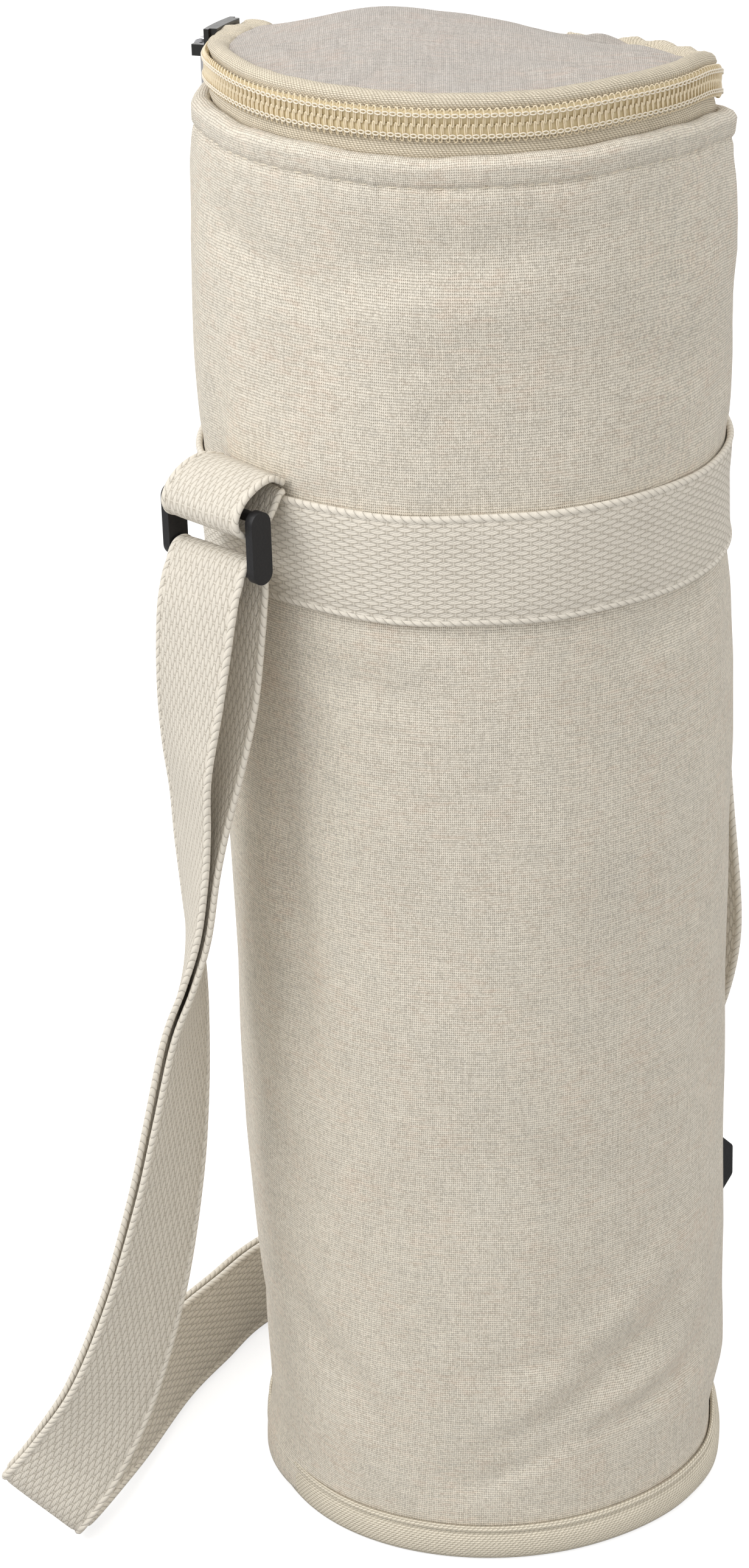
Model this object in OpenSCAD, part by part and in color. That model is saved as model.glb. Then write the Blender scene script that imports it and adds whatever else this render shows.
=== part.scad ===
// Insulated bottle carrier: a padded canvas tube with a zipped flap lid and a webbing shoulder strap.
// Origin on the tube's axis at the floor, +Z up, the strap's ring at the front left.

/* [Body] */
// Radius of the tube at its rim
body_r = 60; // [54:1:72]
// Radius of the tube at its foot
base_r = 58.2; // [53:0.2:60]
// Height of the canvas rim above the floor
body_h = 343; // [300:1:380]
// Thickness of the cotton canvas
canvas_t = 1; // [0.7:0.1:1.4]
// Thickness of the foam in the wall
foam_t = 3.4; // [2:0.2:4]
// Thickness of the foil liner
liner_t = 0.5; // [0.3:0.1:0.8]
// Depth of the hem that is turned inside the rim
hem_h = 12; // [8:1:20]
// Thickness of the turned hem
hem_t = 2.4; // [1.6:0.1:2.6]

/* [Base] */
// Height of the tape that binds the foot
binding_h = 8.5; // [6:0.5:14]
// Thickness of the binding tape
binding_t = 1.4; // [0.8:0.1:2]
// Width of the binding that turns under the foot
binding_in = 8; // [4:0.5:12]
// Thickness of the foam in the base
base_foam_t = 4; // [2:0.5:6]

/* [Band] */
// Width of the cotton webbing
web_w = 25; // [20:1:30]
// Thickness of the cotton webbing
web_t = 1.6; // [1.2:0.1:2]
// Height of the band's top edge
band_top = 266; // [220:1:290]

/* [Zip] */
// Width of one nylon coil
coil_w = 3.05; // [2.4:0.05:3.6]
// Thickness of one nylon coil
coil_t = 1.9; // [1.4:0.1:2.4]
// Space between the two coils, where the slider's web runs
coil_gap = 0.8; // [0.6:0.1:1.2]
// Thickness of the zip tape
tape_t = 0.6; // [0.4:0.1:0.8]
// Height of the lower coil above the rim
chain_rise = 2.6; // [2:0.1:5]
// Angle at which one end of the zip starts, from the right, counter-clockwise
zip_start = 117; // [105:1:130]
// Angle of the slider as the bag stands closed
slider_at = 158; // [140:1:200]

/* [Lid] */
// Height of the lid's crown over its edge
crown_h = 4.7; // [2:0.1:8]
// Width of the zip tape that turns in over the lid
turn_w = 7; // [4:0.5:10]

/* [Slider] */
// Length of the zip slider along the chain
slider_l = 14; // [10:0.5:16]
// Thickness of the slider's plates
plate_t = 1.2; // [0.9:0.1:1.6]
// Diameter of the bail that the pull hangs on
bail_d = 1.6; // [1.2:0.1:2]
// Length of the pull below its eye
pull_l = 26; // [16:1:32]
// Width of the pull
pull_w = 5; // [4:0.5:6]
// Thickness of the pull's plate
pull_t = 0.9; // [0.7:0.1:1.2]

/* [Ring] */
// Height of the plastic ring
ring_h = 16.4; // [14:0.2:22]
// Depth of the ring's side rails
ring_depth = 5.4; // [4:0.2:7]
// Thickness of the ring's side rails
rail_t = 2.2; // [1.6:0.1:3]
// Diameter of the ring's two bars
bar_d = 2.4; // [2:0.1:3.2]
// Direction that the ring faces, from the right, counter-clockwise
ring_face = 224; // [215:1:235]

/* [Adjuster] */
// Length of the strap's adjuster
adjuster_l = 24; // [20:1:30]
// Thickness of the adjuster's bars
adjuster_bar = 2.5; // [2:0.1:3]
// Thickness of the adjuster's cheeks
cheek_t = 2.2; // [1.8:0.1:3]
// Height of the adjuster's middle above the floor
adjuster_z = 50; // [46:1:60]

/* [Strap] */
// Distance between the two layers where they lie together
layer_pitch = 2.4; // [2.2:0.1:3]

/* [Hidden] */

// Clearances: between sewn layers, round the coils, along the slider's plates, between soft and hard pieces
fit = 0.1;
coil_clear = 0.25;
plate_clear = 0.4;
soft_gap = 0.3;
cut_gap = 0.5;
overrun = 1;
$fn = 64;

// The wall is a slight cone
function wall_r(z) = base_r + (body_r - base_r) * z / body_h;

// Heights of the base, from the floor up
wall_z = binding_t;
base_foam_z = wall_z + canvas_t + fit;
base_liner_z = base_foam_z + base_foam_t + fit;

// Steps in from the canvas to the wall's other layers
foam_in = canvas_t + fit;
liner_in = foam_in + foam_t + fit;
bore_in = liner_in + liner_t;
hem_z = body_h - hem_h;
band_z = band_top - web_w;

// The zip tape stands inside the hem, with the coils on its outer face
hem_r = body_r - foam_in - hem_t;
tape_r = hem_r - soft_gap;
coil_r0 = tape_r + fit;
coil_r1 = coil_r0 + coil_t;
coil_z0 = body_h + chain_rise;
coil_z1 = coil_z0 + coil_w;
coil_z2 = coil_z1 + coil_gap;
coil_z3 = coil_z2 + coil_w;
fold_z = (coil_z1 + coil_z2) / 2;
zip_sweep = 540 - 2 * zip_start;
slider_half = asin(slider_l / 2 / tape_r);
coil_skip = 1.25 * slider_half;

// The lid, from its fold line up
lid_liner_z = coil_z2 + coil_gap / 2;
lid_liner_r = tape_r - tape_t - plate_clear - plate_t - plate_clear;
lid_foam_z = lid_liner_z + liner_t + fit;
turn_z = coil_z3 + fit;
lid_edge_z = turn_z + tape_t + fit;
turn_r = tape_r - turn_w;
lid_r = turn_r + turn_w / 5;
crown_r = (lid_r * lid_r + crown_h * crown_h) / (2 * crown_h);
crown_z = lid_edge_z + canvas_t + crown_h - crown_r;
strip_t = 0.7 * canvas_t;

// The slider's plates, inside and outside the chain
lip_h = 1.1 * plate_t;
lip_r = tape_r + 2 * soft_gap;
slider_z0 = coil_z0 - coil_clear - lip_h;
slider_z1 = coil_z3 + coil_clear + lip_h;
inner_r1 = tape_r - tape_t - plate_clear;
inner_r0 = inner_r1 - plate_t;
outer_r0 = coil_r1 + soft_gap;
outer_r1 = outer_r0 + plate_t;
web_slot_t = coil_gap - 2 * coil_clear / 1.6;
eye_r = bail_d / 2 + fit + 1.3 * pull_t;
bail_r = outer_r1 + eye_r + plate_clear;
bail_z = (slider_z0 + slider_z1) / 2;
bail_l = 0.62 * slider_l;

// The ring hangs in front of the wall, square to its own direction
ring_share = [-0.93, -0.7333];
ring_c = ring_share * body_r;
ring_n = [cos(ring_face), sin(ring_face), 0];
ring_w = [ring_n[1], -ring_n[0], 0];
ring_in = web_w + 2 * plate_clear;
bar_inset = 0.7 * bar_d;
ring_z = band_top - 0.8 * bar_d;
low_bar_z = ring_z - ring_h + 2 * bar_inset;
tab_r = wall_r(band_top) + fit + web_t / 2;
tab_reach = norm(ring_c) - tab_r;
tab_root = [ring_c[0], ring_c[1], 0] - ring_n * tab_reach;
tab_angle = atan2(-tab_root[1], -tab_root[0]) + 180;

// The adjuster sits on the straight stretch at the back right
adjuster_share = [0.842, 0.869];
adjuster_c = adjuster_share * body_r;
adjuster_face = 40;
adjuster_n = [cos(adjuster_face), sin(adjuster_face), 0];
adjuster_w = [adjuster_n[1], -adjuster_n[0], 0];
layer_out = layer_pitch / 2;
rail_q = -layer_out - web_t / 2 - soft_gap - adjuster_bar / 2;
bar_q = layer_out + web_t / 2 + coil_clear + adjuster_bar / 2;

// The strap's route, from the ring down to the floor, round the back and up to the band. Each row has
// shares of the tube's radius for x and y, a share for the height, the direction across the webbing
// and the layers' distance as a share of their pitch.
hanging_share = [
    [-0.942, -0.742, 0.926, -0.69, 0.72, 0.03, 3.5],
    [-0.963, -0.757, 0.895, -0.69, 0.72, 0.05, 3.9],
    [-0.99, -0.76, 0.835, -0.61, 0.79, 0.09, 4],
    [-1.023, -0.743, 0.774, -0.47, 0.87, 0.12, 3.3],
    [-1.047, -0.723, 0.722, -0.39, 0.91, 0.11, 1.85],
    [-1.067, -0.71, 0.677, -0.33, 0.94, 0.09, 1.1],
    [-1.083, -0.693, 0.62, -0.19, 0.98, 0.08, 1],
    [-1.11, -0.68, 0.571, 0.01, 1, 0.04, 1],
    [-1.15, -0.673, 0.515, 0.25, 0.97, -0.05, 1],
    [-1.2, -0.69, 0.432, 0.44, 0.89, -0.12, 1],
    [-1.263, -0.713, 0.35, 0.57, 0.8, -0.17, 1],
    [-1.373, -0.743, 0.248, 0.7, 0.67, -0.26, 1],
    [-1.52, -0.777, 0.154, 0.78, 0.49, -0.38, 1.05],
    [-1.683, -0.81, 0.0865, 0.78, 0.19, -0.59, 1.15]];
lying_share = [
    [-1.815, -0.81, 0.46, 0.72, -0.03, -0.69, 1.15],
    [-1.642, -0.517, 0.55, 0.44, -0.13, -0.89, 1],
    [-1.517, -0.25, 0.55, 0.27, -0.08, -0.96, 1],
    [-1.353, 0.183, 0.535, 0.14, -0.05, -0.99, 1],
    [-1.193, 0.483, 0.535, 0.06, -0.03, -1, 1],
    [-1.005, 0.8, 0.535, 0, 0, -1, 1],
    [-0.6, 1.2, 0.535, 0, 0, -1, 1],
    [-0.167, 1.383, 0.535, 0, 0, -1, 1],
    [0.215, 1.362, 0.545, 0.05, -0.05, -1, 1],
    [0.515, 1.211, 0.65, 0.16, -0.21, -0.96, 1],
    [0.7, 1.047, 0.9, 0.37, -0.41, -0.84, 1],
    [0.807, 0.922, 1.15, 0.58, -0.67, -0.47, 1]];
straight_share = [-0.62, -0.5, -0.2, 0.4, 1.2, 1.6];
climbing_share = [
    [0.935, 0.766, 0.515],
    [0.91, 0.737, 0.69],
    [0.862, 0.689, 0.83],
    [0.805, 0.667, 0.934],
    [0.787, 0.661, 0.9985]];

function unit(v) = v / norm(v);
function pick(v, from, to) = [for (i = [from : to]) v[i]];
function station(s, height) = [s[0] * body_r, s[1] * body_r, s[2] * height, s[3], s[4], s[5], s[6] * layer_pitch];
function upright(x, y, z) = [x, y, z, adjuster_w[0], adjuster_w[1], 0, layer_pitch];

route = concat(
    [for (s = hanging_share) station(s, band_top)],
    [for (s = lying_share) station(s, web_w)],
    [for (s = straight_share) upright(adjuster_c[0], adjuster_c[1], adjuster_z + s * adjuster_l)],
    [for (s = climbing_share) upright(s[0] * body_r, s[1] * body_r, s[2] * band_z)]);

// A smooth curve through every row, with some steps between each two
steps = 5;
function between(a, b, c, d, u) =
    b + (c - a) * u / 2 + (2 * a - 5 * b + 4 * c - d) * pow(u, 2) / 2 + (3 * b - 3 * c + d - a) * pow(u, 3) / 2;
function smooth(p) = let (n = len(p) - 1) concat(
    [for (i = [0 : n - 1]) for (k = [0 : steps - 1])
        between(p[max(i - 1, 0)], p[i], p[i + 1], p[min(i + 2, n)], k / steps)],
    [p[n]]);

curve = smooth(route);
last_i = len(curve) - 1;
cut_i = 3 * steps;
straight_i = (len(hanging_share) + len(lying_share)) * steps;

function place(i) = pick(curve[i], 0, 2);
function along(i) = unit(place(min(i + 1, last_i)) - place(max(i - 1, 0)));
function across(i) = unit(pick(curve[i], 3, 5));
function out_of(i) = unit(cross(across(i), along(i)));
// side 1 is the layer that lies outside at the ring, side -1 the one behind it
function layer(side, from, to) =
    [for (i = [from : to]) [place(i) + out_of(i) * side * curve[i][6] / 2, across(i)]];
function shifted(p, d) = [p[0] + d, p[1]];
function turned(p) = [for (i = [len(p) - 1 : -1 : 0]) p[i]];

// Webbing along stations of a place and a direction across
module ribbon(p, width, thick) {
    n = len(p) - 1;
    t = [for (i = [0 : n]) unit(p[min(i + 1, n)][0] - p[max(i - 1, 0)][0])];
    up = [for (i = [0 : n]) unit(cross(p[i][1], t[i]))];
    corners = [[1, 1], [1, -1], [-1, -1], [-1, 1]];
    points = [for (i = [0 : n]) for (c = corners) p[i][0] + p[i][1] * c[0] * width / 2 + up[i] * c[1] * thick / 2];
    sides = [for (i = [0 : n - 1]) for (k = [0 : 3])
        let (a = 4 * i + k, b = 4 * i + (k + 1) % 4) each [[a, a + 4, b], [b, a + 4, b + 4]]];
    ends = [[0, 1, 2], [0, 2, 3], [4 * n, 4 * n + 2, 4 * n + 1], [4 * n, 4 * n + 3, 4 * n + 2]];
    polyhedron(points, concat(sides, ends), 10);
}

// Outline round a ring of centres, listed counter-clockwise, with an arc at each
function heading(v) = atan2(v[1], v[0]);
function rounded(c, r) = let (n = len(c), parts = 6) [for (i = [0 : n - 1])
    let (a = heading(c[i] - c[(i + n - 1) % n]) - 90, turn = heading(c[(i + 1) % n] - c[i]) - 90 - a,
        sweep = turn < 0 ? turn + 360 : turn)
    for (k = [0 : parts]) c[i] + r * [cos(a + sweep * k / parts), sin(a + sweep * k / parts)]];

// A rectangle in radius and height
module band_face(r0, r1, z0, z1) {
    translate([r0, z0]) square([r1 - r0, z1 - z0]);
}

// A layer of the cone between two heights, between two steps in from the canvas
module wall_layer(step0, step1, z0, z1) {
    polygon([[wall_r(z0) - step1, z0], [wall_r(z0) - step0, z0], [wall_r(z1) - step0, z1], [wall_r(z1) - step1, z1]]);
}

module arc(start, sweep) {
    rotate([0, 0, start]) rotate_extrude(angle = sweep, $fn = 96) children();
}

// Axis of the turned frame goes along the ring's or the adjuster's bars
module facing(c, z, angle) {
    translate([c[0], c[1], z]) rotate([0, 0, angle]) children();
}

// One piece of canvas: the wall, its folded rim and the hem turned inside
module outer_canvas() {
    color("#e9e2d2") rotate_extrude($fn = 96) {
        wall_layer(0, canvas_t, wall_z, body_h - canvas_t);
        difference() {
            translate([0, body_h - canvas_t]) polygon([
                [hem_r, 0], [body_r, 0], [body_r - canvas_t / 4, 0.8 * canvas_t], [body_r - canvas_t, canvas_t],
                [hem_r + canvas_t, canvas_t], [hem_r + canvas_t / 4, 0.8 * canvas_t]]);
        }
        band_face(hem_r, hem_r + hem_t, hem_z, body_h - canvas_t);
        band_face(hem_r, body_r - canvas_t / 2, body_h - 2 * canvas_t, body_h - canvas_t);
    }
}

module wall_foam() {
    color("#f2f2ee") rotate_extrude($fn = 96)
        wall_layer(foam_in, foam_in + foam_t, wall_z + canvas_t + fit, hem_z - fit);
}

module wall_liner() {
    color("#c9ccce") rotate_extrude($fn = 96)
        wall_layer(liner_in, bore_in, base_liner_z + liner_t + fit, body_h - canvas_t);
}

module base_canvas() {
    color("#e2dac8") translate([0, 0, wall_z])
        cylinder(h = canvas_t, r = base_r - foam_in);
}

module base_foam() {
    color("#f2f2ee") translate([0, 0, base_foam_z])
        cylinder(h = base_foam_t, r = base_r - liner_in);
}

module base_liner() {
    color("#c9ccce") translate([0, 0, base_liner_z])
        cylinder(h = liner_t, r = base_r - liner_in);
}

// Herringbone tape folded round the foot's seam
module base_binding() {
    r0 = wall_r(binding_t) + fit;
    top_r = wall_r(binding_h) + fit;
    r1 = top_r + binding_t;
    corner = 2 * binding_t;
    color("#e5d8bc") rotate_extrude($fn = 96) polygon(concat(
        [for (a = [0 : 15 : 90]) [r1 - corner + corner * sin(a), corner - corner * cos(a)]],
        [[r1, binding_h - binding_t / 4], [r1 - binding_t / 4, binding_h], [top_r, binding_h],
            [r0, binding_t - fit], [r1 - binding_in, binding_t - fit], [r1 - binding_in, 0]]));
}

module webbing_band() {
    color("#e8e0d0") rotate_extrude($fn = 96)
        wall_layer(-fit - web_t, -fit, band_z, band_top);
}

// The tape inside the hem, up to the lower coil's free edge
module lower_zip_tape() {
    color("#e6d6b4") arc(zip_start, zip_sweep)
        band_face(tape_r - tape_t, tape_r, hem_z, coil_z1);
}

module coil_bead(z) {
    bevel = coil_t / 4;
    translate([coil_r0, z]) polygon([[0, 0], [coil_t - bevel, 0], [coil_t, bevel],
        [coil_t, coil_w - bevel], [coil_t - bevel, coil_w], [0, coil_w]]);
}

module lower_coil() {
    color("#eadcbd") arc(zip_start, zip_sweep) coil_bead(coil_z0);
}

// Canvas that joins the lid to the wall at the back, in two halves that meet at the fold
module hinge_strip_lower() {
    color("#e2dac8") arc(180 - zip_start + fit, 2 * zip_start - 180 - 2 * fit)
        band_face(tape_r - strip_t, tape_r, hem_z, fold_z - fit);
}

module turned_in(thick) {
    band_face(tape_r - thick, tape_r, fold_z + fit, turn_z + thick / 2);
    band_face(turn_r, tape_r - thick / 2, turn_z, turn_z + thick);
}

module hinge_strip_upper() {
    color("#e2dac8") arc(180 - zip_start + fit, 2 * zip_start - 180 - 2 * fit) {
        band_face(tape_r - strip_t, tape_r, fold_z, turn_z + tape_t);
        band_face(turn_r, tape_r, turn_z, turn_z + tape_t);
    }
}

// The tape above the coil turns in over the lid's edge
module upper_zip_tape() {
    color("#e6d6b4") arc(zip_start, zip_sweep) {
        band_face(tape_r - tape_t, tape_r, coil_z2, turn_z + tape_t);
        band_face(turn_r, tape_r, turn_z, turn_z + tape_t);
    }
}

// The lid's coil stops on both sides of the parked slider
module upper_coil() {
    color("#eadcbd") {
        arc(zip_start, slider_at - coil_skip - zip_start) coil_bead(coil_z2);
        arc(slider_at + coil_skip, zip_start + zip_sweep - slider_at - coil_skip) coil_bead(coil_z2);
    }
}

// Crowned panel, its edge turned under on the tape
module crown_face(drop, r, z0) {
    intersection() {
        translate([0, crown_z]) circle(r = crown_r - drop, $fn = 360);
        translate([0, z0]) square([r, crown_h + lid_edge_z + 2 * canvas_t - z0]);
    }
}

module lid_canvas() {
    color("#e4ddd2") rotate_extrude($fn = 96) difference() {
        crown_face(0, lid_r, lid_edge_z);
        crown_face(canvas_t, lid_r - canvas_t, lid_edge_z - overrun);
    }
}

module lid_foam() {
    color("#f2f2ee") rotate_extrude($fn = 96) {
        band_face(0, lid_liner_r, lid_foam_z, turn_z - fit);
        crown_face(canvas_t + fit, turn_r - fit, lid_foam_z);
    }
}

module lid_liner() {
    color("#c9ccce") translate([0, 0, lid_liner_z]) cylinder(h = liner_t, r = lid_liner_r);
}

// Outline of the slider's plates in the flat: wide at the two mouths, drawn in at the waist
module slider_outline(z1) {
    h = z1 - slider_z0;
    translate([0, slider_z0]) difference() {
        translate([-slider_l / 2, 0]) square([slider_l, h]);
        translate([slider_l / 2 + h / 5, -h / 16]) rotate(45) square(h / 3, center = true);
        translate([-slider_l / 2 - h / 5, -h / 16]) rotate(45) square(h / 3, center = true);
    }
}

module slider_plate(r0, r1, z1) {
    intersection() {
        arc(-2 * slider_half, 4 * slider_half) band_face(r0, r1, slider_z0, z1);
        translate([r0 - overrun, 0, 0]) rotate([90, 0, 90])
            linear_extrude(r1 - r0 + 2 * overrun) slider_outline(z1);
    }
}

// Two plates and the web that joins them through the gap between the coils, with lips over the
// coils' outer edges and the arch that carries the pull
module zip_slider_body() {
    leg_t = bail_d;
    color("#1f1f1f") rotate([0, 0, slider_at]) {
        slider_plate(outer_r0, outer_r1, slider_z1);
        slider_plate(inner_r0, inner_r1, turn_z - plate_clear);
        arc(-slider_half / 2, slider_half)
            band_face(inner_r1 - plate_t / 2, outer_r0 + plate_t / 2, fold_z - web_slot_t / 2, fold_z + web_slot_t / 2);
        arc(-slider_half / 1.2, 2 * slider_half / 1.2) {
            band_face(lip_r, outer_r0 + plate_t / 2, slider_z0, slider_z0 + lip_h);
            band_face(lip_r, outer_r0 + plate_t / 2, slider_z1 - lip_h, slider_z1);
        }
        translate([bail_r, 0, bail_z]) rotate([90, 0, 0]) cylinder(h = bail_l, d = bail_d, center = true);
        for (side = [-1, 1]) translate([0, side * (bail_l + leg_t) / 2, bail_z])
            translate([(outer_r1 - plate_t / 2 + bail_r) / 2 + bail_d / 4, 0, 0])
                cube([bail_r - outer_r1 + plate_t / 2 + bail_d / 2, leg_t, 1.6 * bail_d], center = true);
    }
}

// Flat pull with a rolled eye round the bail
module zip_pull() {
    color("#c8c9cb") rotate([0, 0, slider_at]) translate([bail_r, 0, bail_z]) difference() {
        union() {
            rotate([90, 0, 0]) cylinder(h = pull_w, r = eye_r, center = true);
            translate([-pull_t / 2, -pull_w / 2, -pull_l + pull_w / 2]) cube([pull_t, pull_w, pull_l - pull_w / 2]);
            translate([0, 0, -pull_l + pull_w / 2]) rotate([0, 90, 0]) cylinder(h = pull_t, d = pull_w, center = true);
        }
        rotate([90, 0, 0]) cylinder(h = pull_w + 2 * overrun, r = bail_d / 2 + fit, center = true);
        translate([0, 0, -pull_l + pull_w / 2]) rotate([0, 90, 0])
            cylinder(h = pull_t + 2 * overrun, d = pull_w / 2, center = true);
    }
}

// Short webbing tab out of the band's top seam, over the ring's upper bar and back. Shares of the
// way from the wall to the bar, and of the bar's thickness for the height.
tab_share = [[-0.04, 2.18], [0.1, 2.49], [0.4, 2.87], [0.8, 2.53], [1.18, 1.53], [1.4, 0.13], [1.36, -1.07],
    [1.13, -1.69], [0.86, -1.69], [0.6, -1.07], [0.36, -0.07], [0.2, 0.73], [0.06, 1.24], [-0.04, 1.34]];
module strap_tab() {
    tangent = [sin(tab_angle), -cos(tab_angle), 0];
    rows = [for (s = tab_share) let (u = min(1, max(0, 2 * s[0])))
        [tab_root + ring_n * s[0] * tab_reach + [0, 0, ring_z + s[1] * bar_d], unit(tangent * (1 - u) + ring_w * u)]];
    color("#e8e0d0") ribbon(smooth_pairs(rows), web_w, web_t);
}

function smooth_pairs(p) = let (flat = smooth([for (s = p) concat(s[0], s[1])]))
    [for (f = flat) [pick(f, 0, 2), unit(pick(f, 3, 5))]];

// Rectangular ring: two round bars between deep side rails with rounded ends
module strap_ring() {
    rail_h = ring_h - ring_depth;
    color("#1c1c1c") facing(ring_c, ring_z, ring_face) {
        for (z = [0, low_bar_z - ring_z]) translate([0, 0, z]) rotate([90, 0, 0])
            cylinder(h = ring_in + rail_t, d = bar_d, center = true);
        for (side = [-1, 1]) translate([0, side * (ring_in + rail_t) / 2, (low_bar_z - ring_z) / 2]) rotate([90, 0, 0]) {
            cube([ring_depth, rail_h, rail_t], center = true);
            for (e = [-1, 1]) translate([0, e * rail_h / 2, 0]) cylinder(h = rail_t, d = ring_depth, center = true);
        }
    }
}

// The webbing's turn round the lower bar, as shares of the bar's thickness out from it and above it
loop_share = [[1.62, -0.6], [1.22, 0.35], [0.52, 1], [-0.42, 1.02], [-1.1, 0.42], [-1.4, -0.55]];
module strap_loop() {
    bar = [ring_c[0], ring_c[1], low_bar_z];
    turn = [for (s = loop_share) [bar + ring_n * s[0] * bar_d + [0, 0, s[1] * bar_d], ring_w]];
    color("#e8e0d0") ribbon(concat(turned(layer(1, 0, cut_i)), smooth_pairs(turn), layer(-1, 0, cut_i)), web_w, web_t);
}

// The outer layer from the ring, on through the adjuster and up to the band's seam
module strap_long_run() {
    p = layer(1, cut_i, last_i);
    start = shifted(p[0], along(cut_i) * cut_gap);
    color("#e8e0d0") ribbon(concat([start], pick(p, 1, len(p) - 1)), web_w, web_t);
}

// The layer behind it, which ends in the adjuster's sewn loop
module strap_return_run() {
    p = layer(-1, cut_i, straight_i);
    n = len(p) - 1;
    start = shifted(p[0], along(cut_i) * cut_gap);
    end_z = adjuster_z - adjuster_l / 2;
    stop = [[p[n][0][0], p[n][0][1], end_z - soft_gap], p[n][1]];
    color("#e8e0d0") ribbon(concat([start], pick(p, 1, n), [stop]), web_w, web_t);
}

// Moulded adjuster: two rails behind the webbing, a bar in front of it and the cheeks that join them
module strap_adjuster() {
    rail_z = (adjuster_l - adjuster_bar) / 2;
    span = web_w + 2 * plate_clear;
    round_r = 0.65 * adjuster_bar;
    color("#1c1c1c") facing(adjuster_c, adjuster_z, adjuster_face) {
        for (z = [-rail_z, rail_z]) translate([rail_q, 0, z]) rotate([90, 0, 0])
            cylinder(h = span + cheek_t, d = adjuster_bar, center = true);
        translate([bar_q, 0, 0]) rotate([90, 0, 0]) cylinder(h = span + cheek_t, d = adjuster_bar, center = true);
        for (side = [-1, 1]) translate([0, side * (span + cheek_t) / 2, 0]) rotate([90, 0, 0])
            linear_extrude(cheek_t, center = true) polygon(rounded(
                [[rail_q, -rail_z], [bar_q, -rail_z / 3], [bar_q, rail_z / 3], [rail_q, rail_z]], round_r));
    }
}

// The webbing's end, sewn back on itself round the adjuster's bar. Rows are shares of the way from
// the layer to the far side of the bar, and of the adjuster's length.
end_share = [[0, -0.5], [0, -0.3], [0, -0.1], [0.03, 0.05], [0.25, 0.125], [0.5, 0.145], [0.8, 0.11],
    [1, 0.01], [0.9, -0.13], [0.62, -0.28], [0.38, -0.4], [0.37, -0.49]];
module strap_end_loop() {
    reach = 2 * (bar_q - layer_out);
    rows = [for (s = end_share) [[adjuster_c[0], adjuster_c[1], adjuster_z + s[1] * adjuster_l]
        + adjuster_n * (layer_out + s[0] * reach), adjuster_w]];
    color("#e8e0d0") ribbon(smooth_pairs(rows), web_w, web_t);
}

outer_canvas();
wall_foam();
wall_liner();
base_canvas();
base_foam();
base_liner();
base_binding();
webbing_band();
lower_zip_tape();
lower_coil();
hinge_strip_lower();
hinge_strip_upper();
upper_zip_tape();
upper_coil();
lid_canvas();
lid_foam();
lid_liner();
zip_slider_body();
zip_pull();
strap_tab();
strap_ring();
strap_loop();
strap_long_run();
strap_return_run();
strap_adjuster();
strap_end_loop();
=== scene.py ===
import bpy
import numpy as np
from mathutils import Matrix, Vector


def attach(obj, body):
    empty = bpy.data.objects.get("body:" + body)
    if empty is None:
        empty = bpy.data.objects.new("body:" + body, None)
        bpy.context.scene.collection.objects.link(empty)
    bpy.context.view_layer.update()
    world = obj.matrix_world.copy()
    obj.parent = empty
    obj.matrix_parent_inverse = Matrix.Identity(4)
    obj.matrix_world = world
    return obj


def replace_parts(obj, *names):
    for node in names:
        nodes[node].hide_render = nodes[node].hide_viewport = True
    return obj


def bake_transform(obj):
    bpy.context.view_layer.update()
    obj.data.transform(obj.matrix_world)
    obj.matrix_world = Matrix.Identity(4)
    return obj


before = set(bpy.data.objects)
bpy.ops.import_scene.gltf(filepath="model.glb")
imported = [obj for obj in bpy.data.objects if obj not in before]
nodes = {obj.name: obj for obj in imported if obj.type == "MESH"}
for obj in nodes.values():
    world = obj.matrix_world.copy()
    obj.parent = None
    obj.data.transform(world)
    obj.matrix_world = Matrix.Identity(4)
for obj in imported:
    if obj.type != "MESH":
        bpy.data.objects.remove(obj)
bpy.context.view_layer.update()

# Sizes in millimetres and degrees, as in the CAD source
body = {"rim": 60, "foot": 58.2, "height": 343, "canvas": 1, "foam": 3.4, "liner": 0.5,
        "hem": 12, "hemThick": 2.4, "gap": 0.1}
web = {"width": 25, "thick": 1.6, "top": 266}
zipper = {"tapeR": 56.2, "tape": 0.6, "low": 345.6, "coil": 3.05, "gap": 0.8, "start": 117, "end": 423,
          "slider": 158, "skip": 8.944, "pitch": 1.57}
hemEnd = body["height"] - body["hem"]

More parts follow.
